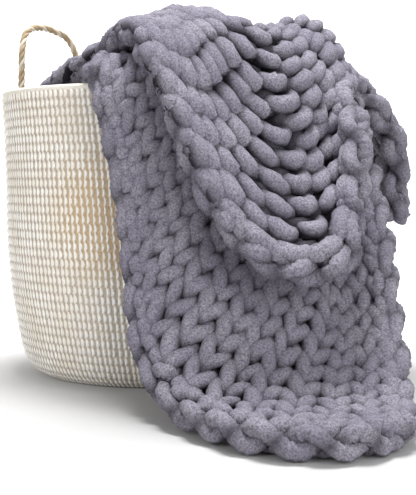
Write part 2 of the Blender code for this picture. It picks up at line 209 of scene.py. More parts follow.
# %% Lay the sheet
def drape(columns, rows):
    """Sections joined into a surface, then each wale measured and read at its rows of stitches."""
    net = np.array([np.asarray(section, float) for section in SECTIONS])
    stations = np.arange(net.shape[1]) * WALES / (net.shape[1] - 1)
    net = curve_through(net.transpose(1, 0, 2), stations, np.asarray(columns, float)).transpose(1, 0, 2)
    grid = np.zeros((len(rows), len(columns), 3))
    for column in range(len(columns)):
        line = net[:, column]
        knots = np.concatenate([[0], np.cumsum(np.linalg.norm(np.diff(line, axis=0), axis=1)**0.75)])
        dense_knots = np.linspace(0, knots[-1], SAMPLES)
        dense = clear_of_basket(curve_through(line, knots, dense_knots))
        length = np.concatenate([[0], np.cumsum(np.linalg.norm(np.diff(dense, axis=0), axis=1))])
        to_rim = np.interp(knots[RIM_SECTION], dense_knots, length)
        to_pile = np.interp(knots[PILE_SECTION], dense_knots, length)
        marks = (0, to_rim / COURSE_PITCH, COURSES - (length[-1] - to_pile) / COURSE_PITCH, COURSES)
        wanted = np.interp(rows, marks, (0, to_rim, to_pile, length[-1]))
        grid[:, column] = np.stack([np.interp(wanted, length, dense[:, axis]) for axis in range(3)], -1)
    return grid


def smooth(field, times):
    """Halfway from each point to the mean of its four neighbours, several times."""
    for _ in range(times):
        wide = np.pad(field, ((1, 1), (1, 1), (0, 0)), mode="edge")
        around = (wide[:-2, 1:-1] + wide[2:, 1:-1] + wide[1:-1, :-2] + wide[1:-1, 2:]) / 4
        field = (field + around) / 2
    return field


def surface_normals(grid):
    """Across times along, as a cross product, at length one."""
    return unit(np.cross(np.gradient(grid, axis=1), np.gradient(grid, axis=0)))


# %% Part the layers
def part_layers(grid, times):
    """Points that are near in space, far along the cloth and face each other move apart."""
    rows, columns = np.divmod(np.arange(grid.shape[0] * grid.shape[1]), grid.shape[1])
    wanted = 2 * (HALF_THICKNESS + RIB) + LAYER_GAP
    for _ in range(times):
        flat = grid.reshape(-1, 3)
        normals = surface_normals(grid).reshape(-1, 3)
        along = np.pad(np.linalg.norm(np.diff(grid, axis=0), axis=2), ((1, 0), (0, 0))).cumsum(0)
        across = np.pad(np.linalg.norm(np.diff(grid, axis=1), axis=2), ((0, 0), (1, 0))).cumsum(1)
        gap = flat[:, None] - flat[None]
        distance = np.maximum(np.linalg.norm(gap, axis=2), 1e-6)
        there = rows[None, :]
        here = columns[:, None]
        way = (np.abs(along.reshape(-1)[:, None] - along[there, here])
               + np.abs(across[there, here] - across.reshape(-1)[None, :]))
        facing = np.minimum(np.abs(np.einsum("pqk,pk->pq", gap, normals)),
                            np.abs(np.einsum("pqk,qk->pq", gap, normals)))
        other = ((distance < wanted) & (way > FAR_ALONG[0] * distance + FAR_ALONG[1])
                 & (facing > FACING * distance))
        nearest = np.where(other, distance, np.inf)
        closest = nearest.argmin(1)
        point = np.arange(len(flat))
        missing = np.maximum(wanted - nearest[point, closest], 0)
        push = gap[point, closest] / distance[point, closest][:, None] * missing[:, None] * PART_SHARE
        grid = clear_between(grid + smooth(push.reshape(grid.shape), 1))
    return grid


def even_wales(grid, share):
    """Each row's points slide along it by a share of the way to even spacing, as seen from the front.

    Even means equal steps of the row's length, in which depth counts less than width and height.
    """
    count = grid.shape[1]
    steps = np.diff(grid, axis=1) * (1, DEPTH_WEIGHT, 1)
    length = np.pad(np.linalg.norm(steps, axis=2), ((0, 0), (1, 0))).cumsum(1)
    even = np.linspace(0, 1, count) * length[:, -1:]
    wanted = length + (even - length) * share
    near = np.clip((length[:, :, None] <= wanted[:, None, :]).sum(1) - 1, 0, count - 2)
    start = np.take_along_axis(length, near, 1)
    part = (wanted - start) / (np.take_along_axis(length, near + 1, 1) - start)
    low = np.take_along_axis(grid, near[..., None], 1)
    high = np.take_along_axis(grid, near[..., None] + 1, 1)
    return low + (high - low) * part[..., None]


coarse = smooth(drape(np.arange(2 * WALES + 1) / 2, np.arange(COURSES + 1, dtype=float)), 2)
coarse = even_wales(part_layers(clear_of_basket(coarse), 12), EVEN_SHARE)
coarse = clear_between(clear_between(clear_between(coarse)))
print("the drape spans", (coarse.max((0, 1)) - coarse.min((0, 1))).round(), "mm")

# %% Read the sheet anywhere
FINE = 8
fine_rows = np.linspace(0, COURSES, COURSES * FINE + 1)
fine_columns = np.linspace(0, WALES, WALES * FINE + 1)
sheet = curve_through(coarse, np.arange(COURSES + 1, dtype=float), fine_rows)
sheet = curve_through(sheet.transpose(1, 0, 2), np.arange(2 * WALES + 1) / 2, fine_columns)
sheet = sheet.transpose(1, 0, 2)
sheet_normals = surface_normals(sheet)


def read_sheet(field, wale, course):
    """Value of a field on the fine grid between its four nearest points."""
    row = np.clip(course * FINE, 0, COURSES * FINE - 1e-6)
    column = np.clip(wale * FINE, 0, WALES * FINE - 1e-6)
    r, c = row.astype(int), column.astype(int)
    y, x = (row - r)[..., None], (column - c)[..., None]
    near = field[r, c] * (1 - x) + field[r, c + 1] * x
    far = field[r + 1, c] * (1 - x) + field[r + 1, c + 1] * x
    return near * (1 - y) + far * y


# %% [markdown]
# ## The yarn
#
# A row of stocking stitch is one wavy yarn. Where it rises and falls it lies on the front as the two
# legs of each V, and where it turns, at the head and the foot of each loop, it lies at the back as a
# bump. A sine in each direction gives that: sideways the yarn doubles back a little, so that the
# legs lean into a V, lengthwise it swings almost two rows, and through the cloth it swings twice as
# often. The wavy lines are then carried onto the drape and given the yarn's thickness.
#
# The cloth folds forward over the basket's mouth, so the panel shows the face with the V shapes and
# the swag shows the other one. There the heads stand out, swollen and pulled aslant by the weight,
# and the feet sink between them, so that each row of heads looks like a rope laid across the swag.

# %% Meshes from arrays
def new_mesh(name, points, quads, triangles, material, point_uv=None):
    """One mesh piece from points in millimetres and index arrays; every face shaded smooth."""
    mesh = bpy.data.meshes.new(name)
    loops = np.concatenate([quads.reshape(-1), triangles.reshape(-1)]).astype(np.int32)
    sizes = np.concatenate([np.full(len(quads), 4), np.full(len(triangles), 3)]).astype(np.int32)
    mesh.vertices.add(len(points))
    mesh.vertices.foreach_set("co", (points * MM).astype(np.float32).reshape(-1))
    mesh.loops.add(len(loops))
    mesh.loops.foreach_set("vertex_index", loops)
    mesh.polygons.add(len(sizes))
    mesh.polygons.foreach_set("loop_start", np.concatenate([[0], sizes.cumsum()[:-1]]).astype(np.int32))
    mesh.polygons.foreach_set("use_smooth", np.ones(len(sizes), bool))
    if point_uv is not None:
        layer = mesh.uv_layers.new(name="UVMap")
        layer.data.foreach_set("uv", point_uv[loops].astype(np.float32).reshape(-1))
    mesh.update(calc_edges=True)
    mesh.validate()
    mesh.materials.append(material)
    piece = bpy.data.objects.new(name, mesh)
    bpy.context.scene.collection.objects.link(piece)
    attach(piece, "root")
    print(name, len(quads) * 2 + len(triangles), "triangles")
    return piece


def tubes(paths, facing, radius, sides):
    """Rings of points around each path, joined by quads, with a closed fan at both ends.

    A ring's point is the path's point plus radius times (cosine of angle times the side direction
    plus sine of angle times the direction square to both).
    """
    count, steps = paths.shape[:2]
    forward = unit(np.gradient(paths, axis=1))
    side = unit(np.cross(forward, facing))
    up = np.cross(side, forward)
    angle = np.linspace(0, 2 * math.pi, sides, endpoint=False)
    spread = np.cos(angle)[:, None] * side[:, :, None] + np.sin(angle)[:, None] * up[:, :, None]
    rings = paths[:, :, None] + np.broadcast_to(radius, (count, steps, sides))[..., None] * spread
    tips = paths[:, [0, -1]]
    points = np.concatenate([rings.reshape(-1, 3), tips.reshape(-1, 3)])
    index = np.arange(count * steps * sides).reshape(count, steps, sides)
    turned = np.roll(index, -1, axis=2)
    quads = np.stack([index[:, :-1], index[:, 1:], turned[:, 1:], turned[:, :-1]], -1).reshape(-1, 4)
    tip = count * steps * sides + np.arange(count * 2).reshape(count, 2)
    first = np.stack([np.broadcast_to(tip[:, :1], (count, sides)), index[:, 0], turned[:, 0]], -1)
    last = np.stack([np.broadcast_to(tip[:, 1:], (count, sides)), turned[:, -1], index[:, -1]], -1)
    return points, quads, np.concatenate([first, last]).reshape(-1, 3)


# %% Loops of the yarn
YARN_RADIUS = 10.2
YARN_SIDES = 12
LOOP_STEPS = 22             # points along the yarn for one stitch
LEAN = (1.7, 1.5)           # how far the legs of a V lean, and the same on the turned part
REACH = 0.80                # half a loop's height, in rows
SWING = 9.8                 # how far the yarn swings to the front and the back
DRIFT = (0.05, 0.04)        # two slow waves that shift the loops sideways, in wales
TURNED_DRIFT = 1.5          # how many times as strong they are on the turned part
PLUSH = 0.85                # unevenness of the pile's outer surface
LUMPS = 0.8                 # and of the yarn's thickness along it
LUMP_LENGTH = 9             # points that one lump is spread over
TURNED = (28.0, 31.0)       # rows over which the cloth's other face comes to be the one that shows
RECESS = 10.5               # how far the feet of the loops sink between the rows of heads there
SLANT = 0.65                # rows that a head climbs for each wale
TIP = 0.55                  # share of its radius that the yarn keeps at an end, which rounds it
SWELL = 1.8                 # how much thicker the yarn is at a head
SIDE_ROOM = 0.45            # the loops stop this many wales from the side edges
TURNED_ROOM = 0.25          # and on the turned part this much closer to the right one
HEM_ROOM = 0.8              # and this many rows from the hems
FLOOR_GAP = 0.2


def yarn_rows(first, last):
    """Paths of the rows first to last, the way the cloth faces, heights and extra thickness.

    Across: the turn plus the lean times the sine of twice the turn, and a little drift. Lengthwise:
    minus the reach times the cosine of the turn. Through the cloth: minus the swing times the cosine
    of twice the turn. On the turned part a head also climbs by the slant times its way across and
    swells, and a foot sinks by the recess, the last two with the square of the cosine.
    """
    turn = np.linspace(0, 2 * math.pi * WALES, LOOP_STEPS * WALES + 1)
    row = np.arange(first, last)[:, None]
    turned = np.clip((row - TURNED[0]) / (TURNED[1] - TURNED[0]), 0, 1)
    drift = DRIFT[0] * np.sin(1.7 * row + 0.31 * turn) + DRIFT[1] * np.sin(0.9 * row - 0.83 * turn)
    drift = drift * (1 + (TURNED_DRIFT - 1) * turned)
    lean = LEAN[0] + (LEAN[1] - LEAN[0]) * turned
    wale = (turn + lean * np.sin(2 * turn)) / (2 * math.pi) + drift
    wale = np.clip(wale, SIDE_ROOM, WALES - SIDE_ROOM + TURNED_ROOM * turned)
    head = np.maximum(-np.cos(turn), 0) * turned
    course = row + 0.5 - REACH * np.cos(turn) * (1 + 0.5 * drift)
    course = course + SLANT * head * (wale - drift - turn / (2 * math.pi))
    course = np.clip(course, HEM_ROOM, COURSES - HEM_ROOM)
    height = -SWING * np.cos(2 * turn) + RECESS * np.maximum(np.cos(turn), 0)**2 * turned
    facing = unit(read_sheet(sheet_normals, wale, course))
    return read_sheet(sheet, wale, course) + facing * height[..., None], facing, height, SWELL * head**2


def plush_radius(shape):
    """Radius at each point of the tubes: uneven pile all over, and soft lumps along the yarn.

    A lump is the mean of nine random values in a row, times three, the root of nine.
    """
    loose = RANDOM.standard_normal((shape[0], shape[1] + LUMP_LENGTH - 1))
    lumps = np.lib.stride_tricks.sliding_window_view(loose, LUMP_LENGTH, axis=1).mean(-1)
    lumps = lumps * math.sqrt(LUMP_LENGTH)
    return YARN_RADIUS + LUMPS * lumps[..., None] + PLUSH * RANDOM.standard_normal(shape + (YARN_SIDES,))


def crease_shade_uv(heights, sides, swing=1.0):
    """UV of the tubes' points: how far each stands out of the cloth's middle, and a half.

    The first number is a share of half the cloth's thickness, and the yarn's material paints shade
    by it, darker towards the middle. The swing says how much of the height that a point has on its
    own yarn counts.
    """
    angle = np.linspace(0, 2 * math.pi, sides, endpoint=False)
    out = np.abs(heights[:, :, None] + swing * YARN_RADIUS * np.sin(angle)) / (SWING + YARN_RADIUS)
    tips = np.abs(heights[:, [0, -1]]) / (SWING + YARN_RADIUS)
    out = np.concatenate([out.reshape(-1), tips.reshape(-1)])
    return np.stack([np.clip(out, 0.01, 0.99), np.full(len(out), 0.5)], -1)


def build_yarn(name, first, last, material):
    """The rows' paths with the yarn's thickness, a little uneven, as pile is."""
    paths, facing, heights, swell = yarn_rows(first, last)
    radius = plush_radius(paths.shape[:2]) + swell[..., None]
    radius[:, [0, -1]] *= TIP
    points, quads, triangles = tubes(paths, facing, radius, YARN_SIDES)
    points[:, 2] = np.maximum(points[:, 2], FLOOR_GAP)
    # The UV map says how far each point stands out, and the material paints shade by it.
    return new_mesh(name, points, quads, triangles, material, crease_shade_uv(heights, YARN_SIDES))


# %% [markdown]
# ## The bound edges
#
# A finished knitting has a chain all round, which shows as slanting strands that meet in a row of
# V shapes. A braid of three strands looks the same from both sides and has no gaps, so each edge is
# one braid: the strands swing from side to side a third of a turn apart, and through the cloth
# twice as often, so that each passes over one neighbour and under the other. The right-hand side of
# the turned part has none: the heads of the loops end it, and it looks knobby.

# %% Braid along an edge
V_PITCH = 52.0              # from one V to the next, millimetres
BRAID_HALF_WIDTH = 14.5
BRAID_LIFT = 10.0
BRAID_STEPS = 500
LINE_STEPS = 400            # points of the line that a braid follows, before it is measured
PROBE = 0.2                 # stitches to each side, between which the way inward is read
EDGE_INSET = 11.0           # from the sheet's edge to the braid's middle
EDGE_THINNER = 0.8          # the bound edge is pulled tighter, so its yarn is thinner
EDGE_SHADE_DEPTH = (0.54, 0.95)    # depth in the UV map where strands cross under and over, as a share; it sets the painted shade, darker where a strand passes under


def braid(wales, courses, inward):
    """Paths of three strands along a line of the sheet.

    Across: the half width times the sine of the phase. Through the cloth: the lift times the sine of
    twice the phase. The phase grows by a full turn every three V shapes.
    """
    line = read_sheet(sheet, wales, courses)
    length = np.concatenate([[0], np.linalg.norm(np.diff(line, axis=0), axis=1).cumsum()])
    at = np.linspace(0, length[-1], BRAID_STEPS)
    wale = np.interp(at, length, wales)
    course = np.interp(at, length, courses)
    line = read_sheet(sheet, wale, course)
    normal = unit(read_sheet(sheet_normals, wale, course))
    ahead = read_sheet(sheet, wale + PROBE * inward[0], course + PROBE * inward[1])
    behind = read_sheet(sheet, wale - PROBE * inward[0], course - PROBE * inward[1])
    across = unit(ahead - behind - normal * ((ahead - behind) * normal).sum(-1, keepdims=True))
    phase = 2 * math.pi * (at / (3 * V_PITCH) + np.arange(3)[:, None] / 3)
    width = (EDGE_INSET + BRAID_HALF_WIDTH * np.sin(phase))[..., None]
    lift = (BRAID_LIFT * np.sin(2 * phase))[..., None]
    flat = line + across * width
    return flat + normal * lift, np.broadcast_to(normal, flat.shape), flat


def build_edges(name, material):
    """Braids along both hems, the left side and the right one up to the turned part, as one piece."""
    along = np.linspace(0, 1, LINE_STEPS)
    edges = (
        (along * WALES, along * 0, (0, 1)),
        (along * WALES, along * 0 + COURSES, (0, -1)),
        (along * 0, along * COURSES, (1, 0)),
        (along * 0 + WALES, along * TURNED[1], (-1, 0)),
    )
    laid = [braid(wales, courses, inward) for wales, courses, inward in edges]
    paths = np.concatenate([path for path, _, _ in laid])
    facing = np.concatenate([normal for _, normal, _ in laid])
    middles = np.concatenate([middle for _, _, middle in laid])
    radius = plush_radius(paths.shape[:2]) - EDGE_THINNER
    radius[:, [0, -1]] *= TIP
    points, quads, triangles = tubes(paths, facing, radius, YARN_SIDES)
    points[:, 2] = np.maximum(points[:, 2], FLOOR_GAP)
    # Painted shade: a strand gets a lower depth in its UV map where it crosses under, so it is coloured
    # darker there.
    lift = ((paths - middles) * facing).sum(-1)
    share = EDGE_SHADE_DEPTH[0] + (EDGE_SHADE_DEPTH[1] - EDGE_SHADE_DEPTH[0]) * np.abs(lift) / BRAID_LIFT
    depth = crease_shade_uv((SWING + YARN_RADIUS) * share, YARN_SIDES, 0.0)
    return new_mesh(name, points, quads, triangles, material, depth)


# %% [markdown]
# ## Materials
#
# Each is built from nodes. The yarn is chenille: a thin core with short cut pile all round, which
# gives a matt, velvety surface, lighter where it is seen at a flat angle. That is sheen on the
# shader, with a fine noise for the pile and a broad, faint one for the uneven dye. The yarn's colour
# is also painted darker towards the cloth's middle, as painted shade in the creases.

# %% Node helpers
def linear(hex_colour):
    """sRGB hex value to linear red, green, blue and one."""
    srgb = np.array([int(hex_colour[i:i + 2], 16) / 255 for i in (1, 3, 5)])
    return (*np.where(srgb <= 0.04045, srgb / 12.92, ((srgb + 0.055) / 1.055)**2.4), 1.0)


def add_node(tree, kind, inputs, output=0, **settings):
    """A node with its settings; an input that is a socket is linked, any other value is set."""
    node = tree.nodes.new(kind)
    for key, value in settings.items():
        setattr(node, key, value)
    for key, value in inputs.items():
        if isinstance(value, bpy.types.NodeSocket):
            tree.links.new(value, node.inputs[key])
        else:
            node.inputs[key].default_value = value
    return node.outputs[output]


def new_finish(name, nodes, **settings):
    """A material whose shader takes what the function nodes gives, and the plain values after it."""
    material = bpy.data.materials.new(name)
    material.use_nodes = True
    tree = material.node_tree
    tree.nodes.clear()
    inputs = {key.replace("_", " "): value for key, value in settings.items()}
    shader = add_node(tree, "ShaderNodeBsdfPrincipled", inputs | nodes(tree))
    result = tree.nodes.new("ShaderNodeOutputMaterial")
    tree.links.new(shader, result.inputs["Surface"])
    return material


# %% Lilac grey chenille
def chenille_pile(tree):
    """Tufts of 2.5 mm in colour and bump, 9 mm lumps, a dye that varies over 60 mm, and painted shade in
    creases.

    Real tufts are about 1 mm across, too fine to show here, so they are drawn coarser. The yarn's
    UV map says how far a point stands out of the cloth, and the colour is painted darker towards its
    middle, nearly to black: painted shade, where little light reaches the pile.
    """
    place = add_node(tree, "ShaderNodeTexCoord", {}, "Object")
    tufts = add_node(tree, "ShaderNodeTexNoise",
                     {"Vector": place, "Scale": 1 / (2.5 * MM), "Detail": 5.0, "Roughness": 0.8})
    lumps = add_node(tree, "ShaderNodeTexNoise", {"Vector": place, "Scale": 1 / (9 * MM), "Detail": 2.0})
    dye = add_node(tree, "ShaderNodeTexNoise", {"Vector": place, "Scale": 1 / (60 * MM), "Detail": 1.0})
    dyed = add_node(tree, "ShaderNodeMapRange", {"Value": dye, "From Min": 0.35, "From Max": 0.65},
                    interpolation_type="SMOOTHSTEP")
    body = add_node(tree, "ShaderNodeMix", {0: dyed, 6: linear("#A39FAE"), 7: linear("#B7B3C0")},
                    2, data_type="RGBA")
    tips = add_node(tree, "ShaderNodeMapRange", {"Value": tufts, "From Min": 0.3, "From Max": 0.68},
                    interpolation_type="SMOOTHSTEP")
    pile = add_node(tree, "ShaderNodeMix", {0: tips, 6: linear("#5F5B68"), 7: body}, 2, data_type="RGBA")
    stands = add_node(tree, "ShaderNodeSeparateXYZ",
                      {"Vector": add_node(tree, "ShaderNodeTexCoord", {}, "UV")})
    # Painted shade: the colour goes nearly to black where the yarn lies deep in the cloth.
    crease_shade_mask = add_node(tree, "ShaderNodeMapRange", {"Value": stands, "From Min": 0.28, "From Max": 0.98},
                        interpolation_type="SMOOTHSTEP")
    colour = add_node(tree, "ShaderNodeMix", {0: crease_shade_mask, 6: linear("#1B1920"), 7: pile},
                      2, data_type="RGBA")
    soft = add_node(tree, "ShaderNodeBump", {"Strength": 0.5, "Distance": 2.5 * MM, "Height": lumps})
    fine = add_node(tree, "ShaderNodeBump",
                    {"Strength": 1.0, "Distance": 3.0 * MM, "Height": tufts, "Normal": soft})
    return {"Base Color": colour, "Normal": fine}


CHENILLE = new_finish("lilac_grey_chenille", chenille_pile, Roughness=1.0, Sheen_Weight=0.22,
                      Sheen_Roughness=0.5, Sheen_Tint=linear("#CFCCD6"), Specular_IOR_Level=0.0)

# %% Build the blanket
blanket_pieces = [
    build_yarn("blanket_panel", 0, 16, CHENILLE),
    build_yarn("blanket_inside", 16, 31, CHENILLE),
    build_yarn("blanket_swag", 31, COURSES, CHENILLE),
    build_edges("blanket_edges", CHENILLE),
]
for piece in blanket_pieces:
    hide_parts("blanket")


# %% [markdown]
# ## The basket
#
# It is coiled: a bundle of sea grass about 12 mm thick winds up the wall, and a pale strip sews each
# turn to the one below, a stitch every 8.5 mm. A picture of stitches in the material would look
# painted on from the side, so both are shapes: the coil is a profile turned round the axis, and each
# stitch is a small ridged strip, closed at the back, that bows over its turn and has its edges sunk
# in the grass.

# %% Sizes of the coil
COIL = 12.0
STITCHES = 156              # round one turn
TURN_RAISED = 2.0           # height of a turn above the grooves beside it
STEPS_PER_COIL = 5
BASKET_SIDES = 160
RIM_STEPS = 9
INSIDE_FLOOR = 1.6          # the inner wall ends this many wall thicknesses above the ground


def wall_outline():
    """The wall's outside up to where the rim begins to round, and the distance up it at each point."""
    outline = basket_outline()
    outline[-1, 1] -= WALL / 2
    return outline, np.concatenate([[0], np.linalg.norm(np.diff(outline, axis=0), axis=1).cumsum()])


TURNS = round(wall_outline()[1][-1] / COIL)


def groove(turn):
    """Height against a turn's crest: the raised height times (half sine to the power 0.6, less 1)."""
    return TURN_RAISED * (np.abs(np.sin(math.pi * turn))**0.6 - 1)


def coiled_wall(turn, out=0.0):
    """Radius and height at a count of turns up the wall, moved outwards square to the wall."""
    outline, length = wall_outline()
    distance = turn / TURNS * length[-1]
    point, ahead, behind = (
        np.stack([np.interp(distance + step, length, outline[:, k]) for k in (0, 1)], -1)
        for step in (0, 1, -1))
    slope = unit(ahead - behind)
    raised = groove(turn) + out
    return point + np.stack([slope[..., 1], -slope[..., 0]], -1) * raised[..., None]


# %% The coil
def basket_profile():
    """Radius and height from the base's middle, up outside, over the rim and down inside."""
    turn = np.linspace(0, TURNS, TURNS * STEPS_PER_COIL + 1)
    outside = coiled_wall(turn)
    half_turn = np.linspace(0, math.pi, RIM_STEPS)[1:-1, None]
    edge = wall_outline()[0][-1] - (WALL / 2, 0)
    rim = edge + WALL / 2 * np.hstack([np.cos(half_turn), np.sin(half_turn)])
    inside = coiled_wall(turn, TURN_RAISED - WALL - 2 * groove(turn))[::-2]
    inside = inside[inside[:, 1] > INSIDE_FLOOR * WALL]
    floor = np.array([(inside[-1, 0] * share, WALL) for share in (0.93, 0.75, 0.5, 0.25)])
    base = np.array([(outside[0, 0] * share, 0.0) for share in (0.3, 0.6, 0.85)])
    return np.concatenate([base, outside, rim, inside, floor])


def build_basket(name, material):
    """The profile turned round the axis, closed by a fan at each end."""
    profile = basket_profile()
    rings = len(profile)
    angle = np.linspace(0, 2 * math.pi, BASKET_SIDES, endpoint=False)
    points = np.stack([
        profile[:, None, 0] * np.cos(angle), profile[:, None, 0] * np.sin(angle),
        np.broadcast_to(profile[:, None, 1], (rings, BASKET_SIDES))], -1).reshape(-1, 3)
    points = np.concatenate([points, [(0, 0, 0), (0, 0, WALL)]])
    index = np.arange(rings * BASKET_SIDES).reshape(rings, BASKET_SIDES)
    turned = np.roll(index, -1, axis=1)
    quads = np.stack([index[:-1], turned[:-1], turned[1:], index[1:]], -1).reshape(-1, 4)
    first = np.stack([np.full(BASKET_SIDES, len(points) - 2), turned[0], index[0]], -1)
    last = np.stack([np.full(BASKET_SIDES, len(points) - 1), index[-1], turned[-1]], -1)
    return new_mesh(name, points, quads, np.concatenate([first, last]), material)


# %% The stitches
STITCH_HALF = 0.46          # half a strip's width, as a share of the stitch spacing
STITCH_TAPER = 0.12         # share of it that is missing at the ends
STITCH_BOW = 0.30           # how far its middle bows sideways, in stitches
STITCH_DRIFT = -0.12        # how far each turn's stitches are moved against those of the one below
STITCH_UNEVEN = 0.06        # and how far each one strays by itself
STRIP = 1.0                 # how far a strip stands out from the coil
STRIP_END = 0.5             # share of that which is left at its ends
STRIP_SUNK = 1.2            # and how far its sides lie below its middle, in the same measure
WORN_PLACE = (-45, -195, 235)   # the strips have pulled thin round this point of the wall
WORN_REACH = 62.0
WORN_SHARE = 0.42               # of the strips' width, missing there


def build_stitches(name, material):
    """Strips over the coil: the middle line bows by a half sine, and the sides sink below the grass.

    A strip stands out by the root of the half sine and narrows by it towards its ends. The worn
    place fades by e to the minus square of the distance, in reaches.
    """
    turn = np.arange(TURNS)[:, None, None, None]
    stitch = np.arange(STITCHES)[None, :, None, None]
    up = np.linspace(0, 1, 5)[None, None, :, None]
    side = np.array([-1.0, 0.0, 1.0])
    uneven = STITCH_UNEVEN * RANDOM.standard_normal((TURNS, STITCHES, 1, 1))
    middle = (stitch + STITCH_DRIFT * turn + uneven) * 2 * math.pi / STITCHES
    centre = coiled_wall(turn + 0.5)
    centre = np.stack([centre[..., 0] * np.cos(middle), centre[..., 0] * np.sin(middle),
                       centre[..., 1] * np.ones_like(middle)], -1)
    worn = np.exp(-(((centre - WORN_PLACE) / WORN_REACH)**2).sum(-1))
    arch = np.sin(math.pi * up)
    half = STITCH_HALF * (1 - WORN_SHARE * worn) * (1 - STITCH_TAPER + STITCH_TAPER * arch)
    angle = middle + (STITCH_BOW * arch + half * side) * 2 * math.pi / STITCHES
    out = STRIP * (STRIP_END + (1 - STRIP_END) * arch**0.5 - STRIP_SUNK * side**2)
    wall = coiled_wall((turn + up) * np.ones_like(side), out)
    points = np.stack([wall[..., 0] * np.cos(angle), wall[..., 0] * np.sin(angle),
                       wall[..., 1] * np.ones_like(angle)], -1).reshape(-1, 3)
    index = np.arange(len(points)).reshape(-1, 5, 3)
    turned = np.roll(index, -1, axis=2)
    quads = np.stack([index[:, :-1], turned[:, :-1], turned[:, 1:], index[:, 1:]], -1).reshape(-1, 4)
    ends = np.concatenate([index[:, 0, ::-1], index[:, -1]])
    return new_mesh(name, points, quads, ends, material)


# %% Sea grass and palm strip
RIM_WRAP = (401.0, 403.5)       # heights between which the strip comes to cover the grass


def grass_fibres(tree):
    """Dry grass: fibres 2 mm wide, dusty, and tan where the strips are thin; strip wraps the rim."""
    place = add_node(tree, "ShaderNodeTexCoord", {}, "Object")
    fibre = add_node(tree, "ShaderNodeTexNoise", {"Vector": place, "Scale": 1 / (2 * MM), "Detail": 2.0})
    dusty = add_node(tree, "ShaderNodeMix", {0: fibre, 6: linear("#95887A"), 7: linear("#DED4C5")},
                     2, data_type="RGBA")
    tan = add_node(tree, "ShaderNodeMix", {0: fibre, 6: linear("#A0866A"), 7: linear("#DCC6A5")},
                   2, data_type="RGBA")
    worn_place = tuple(value * MM for value in WORN_PLACE)
    away = add_node(tree, "ShaderNodeVectorMath", {0: place, 1: worn_place}, "Value", operation="DISTANCE")
    kept = add_node(tree, "ShaderNodeMapRange",
                    {"Value": away, "From Min": 0.7 * WORN_REACH * MM, "From Max": 1.9 * WORN_REACH * MM},
                    interpolation_type="SMOOTHSTEP")
    grass = add_node(tree, "ShaderNodeMix", {0: kept, 6: tan, 7: dusty}, 2, data_type="RGBA")
    height = add_node(tree, "ShaderNodeSeparateXYZ", {"Vector": place}, "Z")
    wrapped = add_node(tree, "ShaderNodeMapRange",
                       {"Value": height, "From Min": RIM_WRAP[0] * MM, "From Max": RIM_WRAP[1] * MM})
    colour = add_node(tree, "ShaderNodeMix", {0: wrapped, 6: grass, 7: linear("#EFE9DE")},
                      2, data_type="RGBA")
    bump = add_node(tree, "ShaderNodeBump", {"Strength": 0.6, "Distance": 0.8 * MM, "Height": fibre})
    return {"Base Color": colour, "Normal": bump}


def strip_fibres(tree):
    """Bleached palm strip: nearly white, a little creamier over 50 mm, with fibres 1.5 mm wide."""
    place = add_node(tree, "ShaderNodeTexCoord", {}, "Object")
    fibre = add_node(tree, "ShaderNodeTexNoise", {"Vector": place, "Scale": 1 / (1.5 * MM), "Detail": 2.0})
    broad = add_node(tree, "ShaderNodeTexNoise", {"Vector": place, "Scale": 1 / (50 * MM), "Detail": 3.0})
    aged = add_node(tree, "ShaderNodeMapRange", {"Value": broad, "From Min": 0.4, "From Max": 0.65},
                    interpolation_type="SMOOTHSTEP")
    body = add_node(tree, "ShaderNodeMix", {0: aged, 6: linear("#FDFBF7"), 7: linear("#F5EFE5")},
                    2, data_type="RGBA")
    split = add_node(tree, "ShaderNodeMapRange", {"Value": fibre, "From Min": 0.25, "From Max": 0.5},
                     interpolation_type="SMOOTHSTEP")
    colour = add_node(tree, "ShaderNodeMix", {0: split, 6: linear("#E2DACB"), 7: body},
                      2, data_type="RGBA")
    bump = add_node(tree, "ShaderNodeBump", {"Strength": 0.4, "Distance": 0.4 * MM, "Height": fibre})
    return {"Base Color": colour, "Normal": bump}


DRY_GRASS = new_finish("dry_sea_grass", grass_fibres, Roughness=0.85, Specular_IOR_Level=0.25)
PALM_STRIP = new_finish("bleached_palm_strip", strip_fibres, Roughness=0.6, Specular_IOR_Level=0.4)
basket = build_basket("coiled_basket", DRY_GRASS)
stitches = build_stitches("basket_stitches", PALM_STRIP)
for piece in (basket, stitches):
    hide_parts("basket")


# %% [markdown]
# ## The handle
#
# A rope of three strands, laid up by twisting, comes up inside the wall, makes a loop and goes down
# again. Each strand is a tube along a helix round the rope's middle line.

# %% Route and sizes of the rope
ROPE_RADIUS = 4.6
ROPE_RAISED = 0.7           # how far the strands stand out of that
ROPE_TURN = 34.0            # length in which a strand goes once round
ROPE_STEPS = 220
STRAND_RADIUS = 2.75
STRAND_SIDES = 10
STRAND_UV = 0.9             # width of a strand in the UV map, so that each has a number of its own
HANDLE_ANGLE = 146.0        # where it stands on the rim, degrees from the right
HANDLE_HALF_ANGLE = 21.5
HANDLE_RISE = 112.0         # above the rim
HANDLE_TUCK = 42.0          # below it, against the inside of the wall
SEAT_GAP = 0.3
HANDLE_SHAPE = (
    ("side low", 0.99, 0.22), ("side middle", 0.98, 0.42), ("side high", 0.96, 0.60),
    ("shoulder", 0.72, 0.90), ("top", 0.30, 1.0),
)


